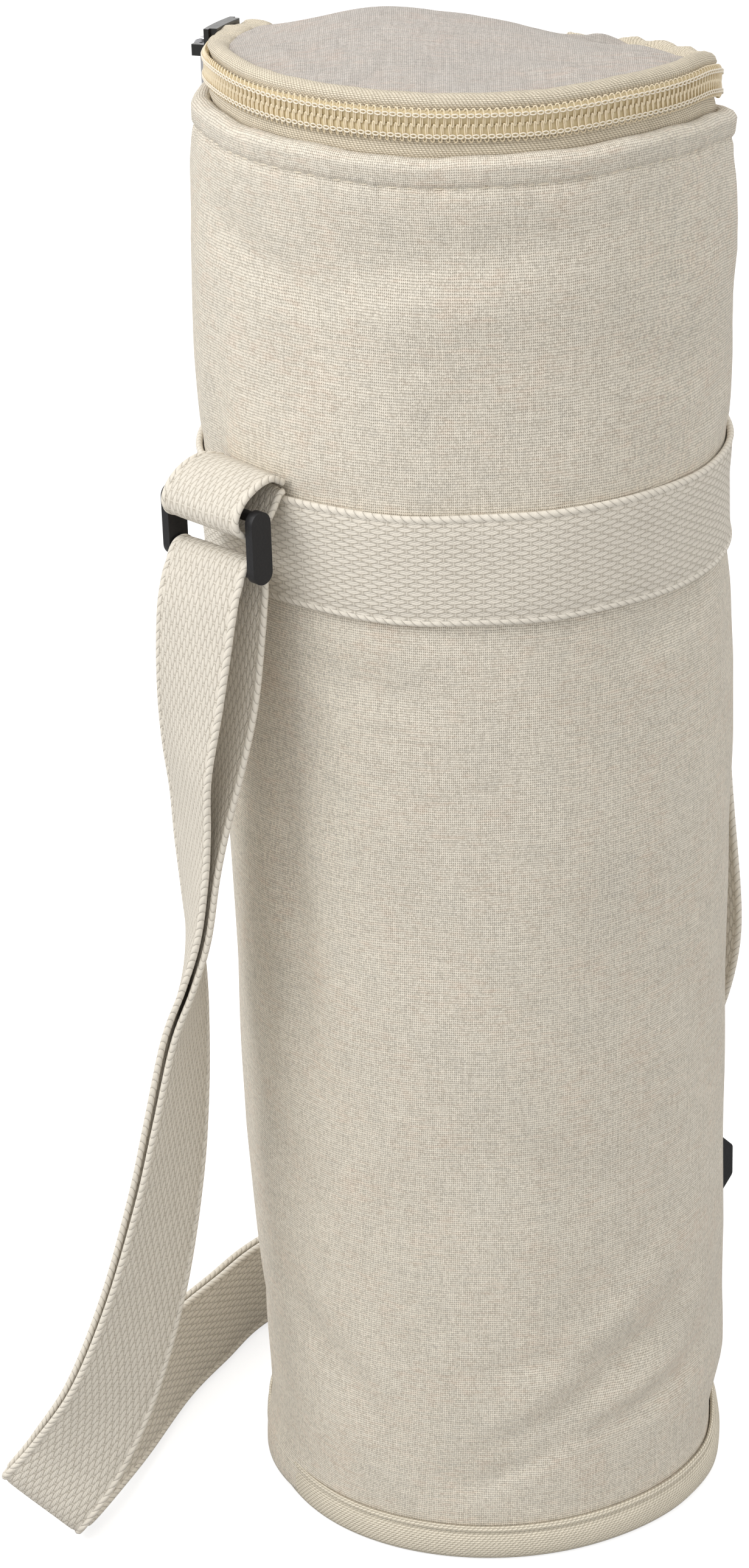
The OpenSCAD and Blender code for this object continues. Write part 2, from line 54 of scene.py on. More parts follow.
# How this soft bag stands. lean has how far its left and right sides are moved to the right of the cone
# at some heights. The rim and the lid sink at the back and are pulled in at the sides, but not at the
# slider, where the zip closes, and the foot is pulled in at the right: degrees, and millimetres.
soft = {
    "leanZ": [0, 12, 25, 40, 60, 90, 130, 170, 191, 210, 228, 237,
              246, 256, 265, 274, 285, 293, 302, 311, 320, 327, 333, 343],
    "leanLeft": [2.2, 2.6, 2.5, 2.2, 1.2, -0.2, -0.4, -0.5, -0.6, -0.7, -0.8, -0.8,
                 -1.1, -1.4, -1.5, -1.7, -1.9, -1.9, -2, -2.1, -1.8, -1.8, -0.9, 0.2],
    "leanRight": [0.2, -0.8, -0.3, -0.6, -0.2, -0.5, -0.6, -0.4, 0.4, 0.6, -0.5, -1.7,
                  -2.8, -3.2, -2.5, -1.8, -1.2, -1, -0.3, 1.2, 1.8, 1.7, 0.5, 0.3],
    "rimAt": [0, 20, 39, 53, 66, 78, 92, 106, 118, 130, 140, 147, 152, 166,
              176, 187, 198, 206, 215, 228, 250, 264, 287, 305, 335, 347, 360],
    "rimUp": [-6.3, -8.2, -9.3, -10.4, -10.4, -9.2, -8.4, -8, -7.4, -6, -4.4, -1.4, -0.1, -0.1,
              0.2, 1.3, 2, 1.9, 1.3, 0.7, -0.1, -0.6, -0.8, -0.1, -0.6, -2.8, -6.3],
    "rimOut": [-2.8, -3.6, -3.8, -2.8, -1.4, -0.4, 0, 0, 0, 0, 0, 0, 0, 0,
               -1, -1.6, -1.3, -0.9, -0.5, -0.1, 0, 0, 0, -0.3, -1.6, -2.2, -2.8],
    "footAt": [0, 30, 60, 300, 318, 335, 350, 360],
    "footOut": [-2.8, -1.8, 0, 0, 0.3, -0.3, -2.3, -2.8],
    "blurDegrees": 4, "sinkZ": (255, 335), "sinkFlatR": 50, "pullZ": (288, 333), "pullFlatR": 52,
    "footZ": (11, 26), "sagFoot": 40, "sagRim": 25,
    # Waves of the wall: size, then turns, millimetres and phase of the two sines that are multiplied
    "sag": [(0.5, 3, 31, 0.6, 0, 47, 1.1), (0.34, 7, -23, 2.1, 1, 29, 0), (0.16, 13, 11, 0, -2, 17, 0.5)]}
# Creases of the wall: angle and height of both ends in degrees and millimetres, half width, depth
creases = [
    (261, 17, 289, 30, 2.4, 0.5), (288, 30, 330, 36, 2.6, 0.55), (264, 24, 289, 37, 3, -0.6),
    (289, 37, 332, 43, 3.4, -0.5), (265, 51, 288, 56, 2.4, 0.4), (258, 20, 326, 62, 5, 1.1),
    (270, 34, 322, 78, 7, -0.8), (285, 52, 312, 50, 4, 0.8), (300, 30, 340, 45, 5, 0.7),
    (222, 205, 226, 120, 7, 1.2), (234, 316, 300, 326, 5, 0.7), (205, 322, 240, 310, 4, 0.9),
    (236, 306, 286, 312, 6, -0.5), (228, 228, 262, 222, 4, 0.7), (330, 236, 300, 231, 4, 0.6),
    (318, 150, 335, 120, 7, 0.7), (300, 296, 342, 286, 6, 0.8), (312, 270, 345, 283, 5, 0.6),
    (200, 255, 208, 300, 6, 0.8), (242, 180, 268, 150, 9, 0.5), (280, 110, 300, 92, 9, 0.45),
    (215, 60, 250, 30, 6, 0.7), (60, 40, 110, 60, 5, 0.9), (120, 210, 150, 190, 6, 0.8),
    (30, 300, 80, 290, 5, 0.8), (160, 70, 190, 45, 5, 0.8), (80, 130, 120, 160, 8, 0.7)]
# All creases and folds are drawn this much deeper than listed
foldGain = 1.8
# Near a radius of 60 mm, one degree is about 1.05 mm
degreeWide = 1.05


def unit(v):
    return v / np.linalg.norm(v, axis=-1, keepdims=True)


def ease(x):
    x = np.clip(x, 0, 1)
    return x * x * (3 - 2 * x)


# From 0 to 1 between two heights
def between(z, ends):
    return ease((z - ends[0]) / (ends[1] - ends[0]))


def bell(x, middle, wide):
    return np.exp(-((x - middle) / wide) ** 2)


# A sum of sines: size, count and phase of each
def waves(x, terms):
    return sum(size * np.sin(count * x + phase) for size, count, phase in terms)


# Heights from low to high, closer together near the foot
def heights(low, high, count):
    return low + (high - low) * np.linspace(0, 1, count) ** 1.35


# A table round the object, one value a degree, blurred so that it has no corners
def rounded(at, by):
    every = np.arange(360)
    blur = bell(np.minimum(every, 360 - every), 0, soft["blurDegrees"])
    return np.real(np.fft.ifft(np.fft.fft(np.interp(every, at, by)) * np.fft.fft(blur / blur.sum())))


upTable = rounded(soft["rimAt"], soft["rimUp"])
outTable = rounded(soft["rimAt"], soft["rimOut"])
footTable = rounded(soft["footAt"], soft["footOut"])


def around(table, angle):
    return np.interp(np.degrees(angle) % 360, np.arange(361), np.append(table, table[0]))


def coneR(z):
    return body["foot"] + (body["rim"] - body["foot"]) * z / body["height"]


def lean(angle, z):
    left = np.maximum(0, -np.cos(angle)) ** 3 * np.interp(z, soft["leanZ"], soft["leanLeft"])
    return left + np.maximum(0, np.cos(angle)) ** 3 * np.interp(z, soft["leanZ"], soft["leanRight"])


# Towards the middle of the lid the sinking turns into its mean
def sink(angle, z, r=body["rim"]):
    inner = np.clip(r / soft["sinkFlatR"], 0, 1) ** 1.6
    return (around(upTable, angle) * inner + upTable.mean() * (1 - inner)) * between(z, soft["sinkZ"])


def pull(angle, z, r=body["rim"]):
    top, foot = between(z, soft["pullZ"]), 1 - between(z, soft["footZ"])
    share = np.clip(r / soft["pullFlatR"], 0, 1) ** 2
    return (around(outTable, angle) * top + around(footTable, angle) * foot) * share


# Low waves that a filled canvas wall has, as a few sines over the angle and the height
def sag(angle, z):
    wave = sum(size * np.sin(a * angle + z / b + c) * np.sin(d * angle + z / e + f)
               for size, a, b, c, d, e, f in soft["sag"])
    return wave * ease(z / soft["sagFoot"]) * ease((body["height"] - z) / soft["sagRim"])


# Ridges along straight lines of a surface: both ends, half width and height of each. Across, a ridge
# is a bell, and it fades out towards its ends.
def ridges(x, y, lines):
    total = np.zeros(np.broadcast(x, y).shape)
    for x0, y0, x1, y1, wide, high in lines:
        place = np.stack(np.broadcast_arrays(x - x0, y - y0), -1)
        line = np.array([x1 - x0, y1 - y0])
        share = np.clip((place @ line) / (line @ line), 0, 1)
        away = np.linalg.norm(place - share[..., None] * line, axis=-1)
        fade = np.sin(np.pi * np.clip(share, 0.04, 0.96)) ** 0.5
        total += foldGain * high * bell(away, 0, wide) * fade
    return total


# Points of the wall, so far out from the cone, and lifted
def wallPoint(angle, z, out, lift=0):
    lines = [(a * degreeWide, b, c * degreeWide, d, wide, deep) for a, b, c, d, wide, deep in creases]
    dents = ridges(np.degrees(angle) % 360 * degreeWide, z, lines)
    r = coneR(z) + out + sag(angle, z) + pull(angle, z) - dents
    x, y = r * np.cos(angle) + lean(angle, z), r * np.sin(angle)
    return np.stack(np.broadcast_arrays(x, y, z + sink(angle, z) + lift), -1)


# Points of the rim's zip and of the lid, by their radius
def ringPoint(angle, r, z):
    r = r + pull(angle, z, r)
    return np.stack(np.broadcast_arrays(r * np.cos(angle), r * np.sin(angle), z + sink(angle, z, r)), -1)


def link(name, mesh):
    made = bpy.data.objects.new(name, mesh)
    bpy.context.scene.collection.objects.link(made)
    return made


# A smooth mesh in metres from points in millimetres
def shaped(name, points, faces):
    mesh = bpy.data.meshes.new(name)
    mesh.from_pydata((points / 1000).tolist(), [], faces)
    mesh.polygons.foreach_set("use_smooth", [True] * len(mesh.polygons))
    return mesh


# A grid of points whose rows are rings, as a surface. With closed, the last row meets the first, and
# with caps both ends are shut. uv is in millimetres of cloth, one longer each way that meets itself.
def surface(name, points, uv, closed=False, caps=False, inward=False):
    rows, cols = points.shape[:2]
    i, j = np.arange(rows - (not closed))[:, None], np.arange(cols)[None, :]
    order = ((0, 0), (1, 0), (1, 1), (0, 1)) if inward else ((0, 0), (0, 1), (1, 1), (1, 0))
    corners = [np.broadcast_to((i + a) % rows * cols + (j + b) % cols, (i.size, j.size)) for a, b in order]
    spots = np.stack([uv[i + a, j + b] for a, b in order], 2).reshape(-1, 2)
    faces = np.stack(corners, -1).reshape(-1, 4).tolist()
    if caps:
        first, last = list(range(cols)), list(range((rows - 1) * cols, rows * cols))
        faces += [first[::-1], last]
        spots = np.concatenate([spots, np.tile(spots[:1], (2 * cols, 1))])
    mesh = shaped(name, points.reshape(-1, 3), faces)
    mesh.uv_layers.new(name="weave").data.foreach_set("uv", (spots / 1000).ravel())
    if caps:
        mesh.set_sharp_from_angle(angle=np.radians(60))
    return link(name, mesh)


# Pairs of cloth lengths, both ways of the weave, for the uv of a surface
def spread(first, second):
    return np.stack(np.broadcast_arrays(first, second), -1)


# One small closed tube along a path, carried to many places. half has its half sizes beside the path
# and off the surface, and axes the three directions of each copy.
def tubes(path, half, sides, places, axes):
    path, half = np.asarray(path, float), np.asarray(half, float) * np.ones((len(path), 2))
    way = unit(np.gradient(path, axis=0))
    beside = np.zeros_like(way)
    beside[0] = unit(np.cross(way[0], [0.1, 0.2, 1]))
    for k in range(1, len(path)):
        beside[k] = unit(beside[k - 1] - way[k] * (beside[k - 1] @ way[k]))
    off = np.cross(beside, way)
    turn = np.linspace(0, 2 * np.pi, sides, endpoint=False)[None, :, None]
    one = path[:, None] + np.cos(turn) * half[:, None, :1] * beside[:, None]
    one = one + np.sin(turn) * half[:, None, 1:] * off[:, None]
    rows, count = len(path), len(places)
    every = places[:, None, None] + np.einsum("rsk,nkd->nrsd", one, axes)
    i, j = np.arange(rows - 1)[:, None], np.arange(sides)[None, :]
    after = (j + 1) % sides
    quads = np.stack([i * sides + j, i * sides + after, (i + 1) * sides + after, (i + 1) * sides + j], -1)
    shift = (np.arange(count) * rows * sides)[:, None, None]
    quads = quads.reshape(1, -1, 4)[..., ::-1] + shift
    ends = np.stack([np.arange(sides), (rows - 1) * sides + np.arange(sides)[::-1]]) + shift
    return every.reshape(-1, 3), quads.reshape(-1, 4), ends.reshape(-1, sides)


# Sets of small tubes as one mesh
def copies(name, sets):
    faces, total = [], 0
    for points, quads, ends in sets:
        faces += (quads + total).tolist() + (ends + total).tolist()
        total += len(points)
    return link(name, shaped(name, np.concatenate([one[0] for one in sets]), faces))


def color(text):
    parts = [int(text[k:k + 2], 16) / 255 for k in (1, 3, 5)]
    return [p / 12.92 if p <= 0.04045 else ((p + 0.055) / 1.055) ** 2.4 for p in parts] + [1]


# feed has values, nodes or sockets for the inputs of a node, by number or name
def supply(tree, node, feed):
    for socket, value in feed.items() if isinstance(feed, dict) else enumerate(feed):
        if isinstance(value, bpy.types.Node):
            value = value.outputs[0]
        if isinstance(value, bpy.types.NodeSocket):
            tree.links.new(value, node.inputs[socket])
        else:
            node.inputs[socket].default_value = value
    return node


# Adds a shader node
def put(tree, kind, feed=(), **settings):
    made = tree.nodes.new("ShaderNode" + kind)
    for key, value in settings.items():
        setattr(made, key, value)
    return supply(tree, made, feed)


def calc(tree, operation, *feed, **settings):
    return put(tree, "Math", feed, operation=operation, **settings)


def vector(tree, operation, *feed):
    return put(tree, "VectorMath", feed, operation=operation)


def dot(tree, *feed):
    return vector(tree, "DOT_PRODUCT", *feed).outputs["Value"]


def noise(tree, place, scale, detail, **more):
    return put(tree, "TexNoise", {"Vector": place, "Scale": scale, "Detail": detail, **more})


def ramp(tree, value, low, high, first, last):
    feed = {"Value": value, "From Min": low, "From Max": high, "To Min": first, "To Max": last}
    return put(tree, "MapRange", feed)


def mixed(tree, share, first, second):
    return put(tree, "Mix", {"Factor": share, 6: first, 7: second}, data_type="RGBA").outputs[2]


def material(name, **values):
    made = bpy.data.materials.new(name)
    made.use_nodes = True
    shader = made.node_tree.nodes["Principled BSDF"]
    for key, value in values.items():
        shader.inputs[key.replace("_", " ")].default_value = value
    return made, made.node_tree, shader


# What all cloths share: scales of their noises per metre, colours of the fibres spun in, and the cord
# at the webbing's edges, its width and the two pitches of its twist in metres
yarn = {"fibres": 4200, "clouds": 45, "slubs": ((90, 1400, 0), (1400, 110, 0)), "dashes": (240, 1000, 0),
        "drifts": 75, "warm": "#e0a784", "cold": "#98a3a8", "fuzz": 0.2,
        "cordIn": 0.0016, "cordOut": 0.0014, "twistAlong": 0.0021, "twistAcross": 0.0017}


# Height of one set of floats from 0 to 1. Each float is an ellipse in its cell of the grid at, its
# plies fine slanted waves.
def floats(tree, at, reach, fill, ply=0, high=1.0):
    cell = vector(tree, "FRACTION", at)
    local = vector(tree, "MULTIPLY_ADD", cell, (1 / reach, 1 / fill, 0), (-0.5 / reach, -0.5 / fill, 0))
    away = dot(tree, vector(tree, "MULTIPLY", local, local), (1, 1, 0))
    bulge = calc(tree, "POWER", calc(tree, "SUBTRACT", 1, away, use_clamp=True), 0.5)
    if not ply:
        return calc(tree, "MULTIPLY", bulge, high)
    slant = dot(tree, local, (-2.5 * ply, 3.1416 * ply, 0))
    rough = calc(tree, "MULTIPLY_ADD", calc(tree, "SINE", slant), 0.12 * high, 0.88 * high)
    return calc(tree, "MULTIPLY", bulge, rough)


# Height of a woven cloth. With shift, each row of floats is moved on by that share of the period, as
# in twill. Without it two staggered sets of floats lie over the crossing yarns in their gaps.
def weave(tree, uv, look):
    period, row, loose = look["period"] / 1000, look["row"] / 1000, look["loose"]
    wander = vector(tree, "SUBTRACT", noise(tree, uv, 0.22 / row, 1).outputs["Color"], (0.5, 0.5, 0.5))
    spot = vector(tree, "MULTIPLY_ADD", wander, (loose * period, loose * row * 2, 0), uv)
    if look.get("shift"):
        x = dot(tree, spot, (1 / period, look["shift"] / row, 0))
        y = dot(tree, spot, (0, 1 / row, 0))
        return floats(tree, put(tree, "CombineXYZ", [x, y]), look["reach"], look["fill"], 1)
    # Each crossing has its own thickness, from a random number for its cell
    cell = vector(tree, "FLOOR", vector(tree, "MULTIPLY_ADD", spot, (2 / period, 1 / row, 0), (0.5, 0.5, 0)))
    chance = put(tree, "TexWhiteNoise", [cell])
    best = None
    for half in (0, 0.5):
        at = vector(tree, "MULTIPLY_ADD", spot, (1 / period, 0.5 / row, 0), (half, half, 0))
        gap = vector(tree, "ADD", at, (0.5, 0, 0))
        weft = floats(tree, at, look["reach"], look["fill"], look["ply"])
        warp = floats(tree, gap, look["warpReach"], look["warpFill"], 0, look["warpHigh"])
        if look.get("ends"):  # several fine yarns lie side by side in each gap
            stripe = calc(tree, "COSINE", dot(tree, at, (6.2832 * look["ends"], 0, 0)))
            warp = calc(tree, "MULTIPLY", warp, calc(tree, "MULTIPLY_ADD", stripe, 0.2, 0.8))
        for part in (weft, warp):
            best = part if best is None else calc(tree, "MAXIMUM", best, part)
    even = calc(tree, "MULTIPLY_ADD", chance, look["uneven"], 1 - look["uneven"])
    return calc(tree, "MULTIPLY", best, even)


# The selvedge at the two edges of the webbing is a twisted cord
def corded(tree, uv, height):
    width = web["width"] / 2000
    edge = calc(tree, "ABSOLUTE", calc(tree, "SUBTRACT", put(tree, "SeparateXYZ", [uv]).outputs[1], width))
    twist = dot(tree, uv, (3.1416 / yarn["twistAlong"], 3.1416 / yarn["twistAcross"], 0))
    strand = calc(tree, "POWER", calc(tree, "ABSOLUTE", calc(tree, "SINE", twist)), 0.5)
    rope = calc(tree, "MULTIPLY_ADD", strand, 0.7, 0.25)
    outside = ramp(tree, edge, width - yarn["cordIn"], width - yarn["cordOut"], 0, 1)
    return put(tree, "Mix", {"Factor": outside, "A": height, "B": rope})


# Cotton: the woven height as bump, with shade painted darker into its holes, and slubs, clouds of grey and
# warm flecks.
# The clouds, slubs and fibres vary the tone by the look's shares.
def cloth(name, look):
    made, tree, shader = material(name, Roughness=0.92, Sheen_Weight=0.1, Sheen_Roughness=0.5,
                                  Specular_IOR_Level=0.2)
    uv = put(tree, "UVMap", uv_map="weave")
    height = weave(tree, uv, look)
    if look.get("cord"):
        height = corded(tree, uv, height)
    space = put(tree, "TexCoord").outputs["Object"]
    fibre = noise(tree, space, yarn["fibres"], 2)
    fuzzy = calc(tree, "MULTIPLY_ADD", fibre, yarn["fuzz"], height)
    # Painted shade: where the woven height is low, in the holes and gaps of the weave, the tone goes to the
    # dark shade colour
    low, high, most = look["holeShading"]
    tone = mixed(tree, ramp(tree, height, low, high, most, 0), color(look["light"]), color(look["shadeTone"]))
    clouds = noise(tree, space, yarn["clouds"], 5, Roughness=0.65)
    # Thick and thin stretches of single yarns, both ways of the weave
    ways = [vector(tree, "MULTIPLY", uv, way) for way in yarn["slubs"]]
    slubs = calc(tree, "ADD", *[noise(tree, way, 1, 2) for way in ways])
    cloudy = calc(tree, "MULTIPLY_ADD", clouds, look["cloud"], 1 - 0.5 * look["cloud"])
    slubby = calc(tree, "MULTIPLY_ADD", slubs, look["slub"], 1 - look["slub"])
    grain = calc(tree, "MULTIPLY_ADD", fibre, look["fibre"], 1 - 0.5 * look["fibre"])
    shade = calc(tree, "MULTIPLY", calc(tree, "MULTIPLY", cloudy, slubby), grain)
    tone = vector(tree, "MULTIPLY", tone, shade).outputs[0]
    if look.get("fleck"):
        # Coloured fibres spun in: peach and blue-grey dashes along the weft, in drifts
        dashes = noise(tree, vector(tree, "MULTIPLY", uv, yarn["dashes"]), 1, 1)
        drifts = calc(tree, "MULTIPLY_ADD", noise(tree, space, yarn["drifts"], 3), 0.9, -0.45)
        flecks = calc(tree, "ADD", dashes, drifts)
        warm = ramp(tree, flecks, 0.52, 0.8, 0, look["fleck"])
        cold = ramp(tree, flecks, 0.44, 0.16, 0, look["fleck"] * 0.8)
        tone = mixed(tree, cold, mixed(tree, warm, tone, color(yarn["warm"])), color(yarn["cold"]))
    bump = put(tree, "Bump", {"Height": fuzzy, "Distance": look["deep"] / 1000, "Strength": 0.9})
    supply(tree, shader, {"Base Color": tone, "Normal": bump})
    return made


# In each look, period, row and deep are in millimetres, and loose, reach, fill, warpReach, warpFill and
# uneven are shares of the cell. Shade is painted into the holes: one entry has the heights between which the
# tone goes dark and how dark, another the dark colour of that painted shade.
# Unbleached cotton canvas in plain weave, with pinholes at the corners of its floats. The real floats are
# 0.7 mm apart in rows of 0.45 mm, too fine to show in the render, so they are drawn a quarter coarser.
canvas = cloth("canvas", {
    "light": "#ede5d6", "shadeTone": "#6b5f4c", "period": 0.9, "row": 0.56, "loose": 0.34, "reach": 0.46,
    "fill": 0.27, "ply": 1, "warpReach": 0.21, "warpFill": 0.44, "warpHigh": 0.95, "uneven": 0.45,
    "holeShading": (0.0, 0.62, 0.9), "deep": 0.24, "cloud": 0.16, "slub": 0.26, "fibre": 0.4, "fleck": 0.1})
# The lid's canvas is a little finer; its darker, greyer tone is painted shade on the top
lidCanvas = cloth("lidCanvas", {
    "light": "#cac3bc", "shadeTone": "#6f665c", "period": 0.85, "row": 0.52, "loose": 0.34, "reach": 0.45,
    "fill": 0.25, "ply": 1, "warpReach": 0.2, "warpFill": 0.4, "warpHigh": 0.95, "uneven": 0.45,
    "holeShading": (0.0, 0.6, 0.8), "deep": 0.22, "cloud": 0.16, "slub": 0.4, "fibre": 0.4, "fleck": 0.1})
# Cotton webbing: floats 3.9 mm long over bundles of fine crossing yarns, a twisted cord at each edge
webbing = cloth("webbing", {
    "light": "#e6dfd2", "shadeTone": "#75674f", "period": 4.1, "row": 0.96, "loose": 0.22, "reach": 0.47,
    "fill": 0.33, "ply": 3, "warpReach": 0.16, "warpFill": 0.36, "warpHigh": 0.62, "ends": 8,
    "uneven": 0.15, "holeShading": (0.05, 0.62, 0.7), "deep": 0.4, "cloud": 0.08, "slub": 0.1, "fibre": 0.14,
    "cord": True})
# Cotton twill tape of the zip, each row stepped on by a third
zipTape = cloth("zipTape", {
    "light": "#ede2cd", "shadeTone": "#857659", "period": 0.8, "row": 0.42, "loose": 0.16, "reach": 0.5,
    "fill": 0.5, "shift": 0.34, "holeShading": (0.0, 0.6, 0.6), "deep": 0.2, "cloud": 0.1, "slub": 0.25,
    "fibre": 0.3})
# Coarser tape of the binding round the foot, each row stepped on by a half
bindTape = cloth("bindTape", {
    "light": "#f0e7d4", "shadeTone": "#8a7c62", "period": 1.2, "row": 0.6, "loose": 0.14, "reach": 0.5,
    "fill": 0.5, "shift": 0.5, "holeShading": (0.0, 0.5, 0.5), "deep": 0.3, "cloud": 0.12, "slub": 0.15,
    "fibre": 0.2})


# A plain finish whose roughness and surface vary with one noise: its scale per metre, depth in metres
def finish(name, text, scale, low, high, deep=0.0, **values):
    made, tree, shader = material(name, Base_Color=color(text), **values)
    grain = noise(tree, put(tree, "TexCoord").outputs["Object"], scale, 3)
    supply(tree, shader, {"Roughness": ramp(tree, grain, 0, 1, low, high)})
    if deep:
        supply(tree, shader, {"Normal": put(tree, "Bump", {"Height": grain, "Distance": deep})})
    return made


# Sewing thread, cotton-wrapped, matte and hairy
thread = finish("thread", "#f2e8d5", 3000, 0.6, 0.85, 0.0001, Sheen_Weight=0.2)
# Nylon monofilament of the coils, smooth and pale, so its edges catch the light
nylon = finish("nylon", "#efe0c2", 900, 0.18, 0.36)
# Spun polyester filler cord inside the coils, golden, matte
core = finish("fillerCord", "#d8c8a2", 1500, 0.5, 0.7, 0.0001)
# Heat-sealed foil liner over foam, satin, with soft wrinkles
foil = finish("foil", "#9a9ea1", 70, 0.42, 0.6, 0.0012, Metallic=0.7)
# Matte black moulded acetal
plastic = finish("plastic", "#17171a", 1600, 0.36, 0.55, 0.00006, Specular_IOR_Level=0.45)
# Black baked enamel on the slider's zinc, with a faint gloss
enamel = finish("enamel", "#141414", 700, 0.2, 0.4, Coat_Weight=0.4)
# Nickel-plated zinc of the pull, worn bright
nickel = finish("nickel", "#dcdce0", 500, 0.14, 0.32, Metallic=1)
print("materials made")


def dress(made, look):
    made.data.materials.clear()
    made.data.materials.append(look)
    return made


full = np.linspace(0, 2 * np.pi, 481)[:-1]
half = full[::2]


# A closed ring round the tube from a profile, cloth laid along it
def lathe(name, angles, points):
    ring = np.append(angles, angles[0] + 2 * np.pi)
    along = np.append(0, np.cumsum(np.linalg.norm(np.diff(points[:, 0], axis=0), axis=1)))
    along = np.append(along, along[-1] + np.linalg.norm(points[-1, 0] - points[0, 0]))
    uv = spread(ring[None, :] * body["rim"], along[:, None])
    return surface(name, points, uv, closed=True)


# The wall: the rim's fold, the doubled hem down to its seam, and the wall down to the foot, then back
# up inside and round the hem that is turned in. rim is outwards and up from rimDrop below the top,
# hemZ the depth below the rim, hemOut how proud, and hemDepths the first rows.
wall = {"rim": [(-3.3, -2.4), (-3.2, -0.4), (-2.7, 0.6), (-1.8, 1.1), (-0.6, 0.98), (0.35, 0.5),
                (0.9, -0.3)], "rimDrop": 1.1,
        "rimWaves": [(0.3, 5, 1), (0.2, 9, 2.2)], "rimRipple": (0.12, 23, 0), "waveEnd": 14,
        "hemZ": [0, 2, 3.2, 4.8, 5.6, 6.3, 6.9, 7.8, 10, 13, 17],
        "hemOut": [1.1, 1.15, 1.0, 0.75, 0.5, -0.15, 0.0, 0.35, 0.45, 0.25, 0],
        "hemDepths": [2, 2.7, 3.4, 4.2, 4.9, 5.5, 6, 6.3, 6.6, 7, 7.6, 8.5, 10, 12, 14.5], "hemFlat": 17,
        "lowest": 1.6, "rows": 118, "innerRows": 59, "turnRows": 6, "turnTop": 2,
        "seam": 6.3, "seamWide": 2.2, "stitches": 120, "gathers": [(0.1, 71, 1), (0.12, 37, 0)],
        "stitchGather": 0.16, "press": 0.5, "pressWide": 3,
        "slump": 2, "slumpAt": 198, "slumpWide": 22, "slumpZ": (3, 16)}
out, z = np.array(wall["rim"]).T[:, :, None]
lift = waves(full, wall["rimWaves"] + [wall["rimRipple"]])[None, :]
rimRows = wallPoint(full[None, :], body["height"] - wall["rimDrop"] + z, out, lift)
down = body["height"] - heights(wall["lowest"], body["height"] - wall["hemFlat"], wall["rows"])[::-1]
depth = np.append(wall["hemDepths"], down)[:, None]
z = body["height"] - depth
# The stitches gather the cloth at the hem's seam, and the band presses in at both its edges
gather = waves(full, [(wall["stitchGather"], wall["stitches"], 0)] + wall["gathers"])
bandEdges = bell(z, web["top"], wall["pressWide"]) + bell(z, web["top"] - web["width"], wall["pressWide"])
# At the left of the foot the canvas has slumped over the binding
slump = bell(np.degrees(full), wall["slumpAt"], wall["slumpWide"])
out = np.interp(depth, wall["hemZ"], wall["hemOut"]) - bell(depth, wall["seam"], wall["seamWide"]) * gather
out = out - wall["press"] * bandEdges + wall["slump"] * slump * (1 - between(z, wall["slumpZ"]))
lift = waves(full, wall["rimWaves"]) * ease(1 - depth / wall["waveEnd"])
outerRows = wallPoint(full[None, :], z, out, lift)
z = heights(wall["lowest"], hemEnd, wall["innerRows"])[:, None]
innerRows = wallPoint(full[None, :], z, -body["canvas"])
z = np.linspace(hemEnd, body["height"] - wall["turnTop"], wall["turnRows"])[:, None]
turnRows = ringPoint(full[None, :], body["rim"] - wall["rimDrop"] - body["hemThick"], z)
rows = np.concatenate([rimRows, outerRows, innerRows, turnRows])
made = dress(lathe("wallCanvas", full, rows), canvas)
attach(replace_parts(made, "outer_canvas"), "tube")


# Directions at some angles: along the ring, up or down, and outwards
def directions(at, slope=0, upward=1):
    flat = 0 * at
    along, up = [-np.sin(at), np.cos(at), flat + slope], [flat, flat, flat + upward]
    return np.moveaxis(np.array([along, up, [np.cos(at), np.sin(at), flat]]), -1, 0)


# Stitches of the hem, sunk in the seam: a path along it, up and out, and the thread's half width
stitch = {"path": [(-1.25, 0, -0.25), (-1, 0, 0.05), (-0.4, 0.03, 0.16), (0.4, -0.03, 0.16), (1, 0, 0.05),
                   (1.25, 0, -0.25)], "half": 0.16, "sunk": 0.3, "follow": 0.6, "sides": 6}
at = np.arange(wall["stitches"]) * 2 * np.pi / wall["stitches"]
lift = waves(at, wall["rimWaves"]) * stitch["follow"]
places = wallPoint(at, np.full_like(at, body["height"] - wall["seam"]), -stitch["sunk"], lift)
made = copies("hemStitches", [tubes(stitch["path"], stitch["half"], stitch["sides"], places, directions(at))])
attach(dress(made, thread), "tube")

# Foam and foil inside it, one padded shell, with a thin lip of foil up to the zip's tape. slack keeps
# the foam behind the canvas in the creases, and lip has distances from the foil and depths.
inside = {"slack": 0.5, "lowest": 2.6, "rows": 60, "short": 0.2, "lipStart": 8,
          "lip": [(0, body["hem"] + 1.5), (0, 1.2), (0.55, 1.1), (0.55, body["hem"] + 0.2)]}
inner = body["canvas"] + body["gap"]
liner = inner + body["foam"] + body["gap"] + body["liner"]
z = heights(inside["lowest"], hemEnd - inside["short"], inside["rows"])[::-1, None]
outerRows = wallPoint(half[None, :], z, -inner - inside["slack"])
z = np.linspace(inside["lowest"], hemEnd - inside["lipStart"], inside["rows"])[:, None]
innerRows = wallPoint(half[None, :], z, -liner)
out, depth = np.array(inside["lip"]).T[:, :, None]
lipRows = ringPoint(half[None, :], body["rim"] - liner + out, body["height"] - depth)
lining = dress(lathe("wallLining", half, np.concatenate([outerRows, innerRows, lipRows])), foil)
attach(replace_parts(lining, "wall_foam", "wall_liner"), "tube")


# Round plates: a profile of radius and height turned closed, its first and last point on the axis
def disc(name, profile, look, slot, rider, *stands):
    turn = full[::4]
    r, z = np.array(profile, float).T
    points = ringPoint(turn[None, :], r[:, None], z[:, None])
    uv = points[..., :2]
    made = dress(surface(name, points, np.concatenate([uv, uv[:, :1]], 1)), look)
    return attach(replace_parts(made, *stands), rider)


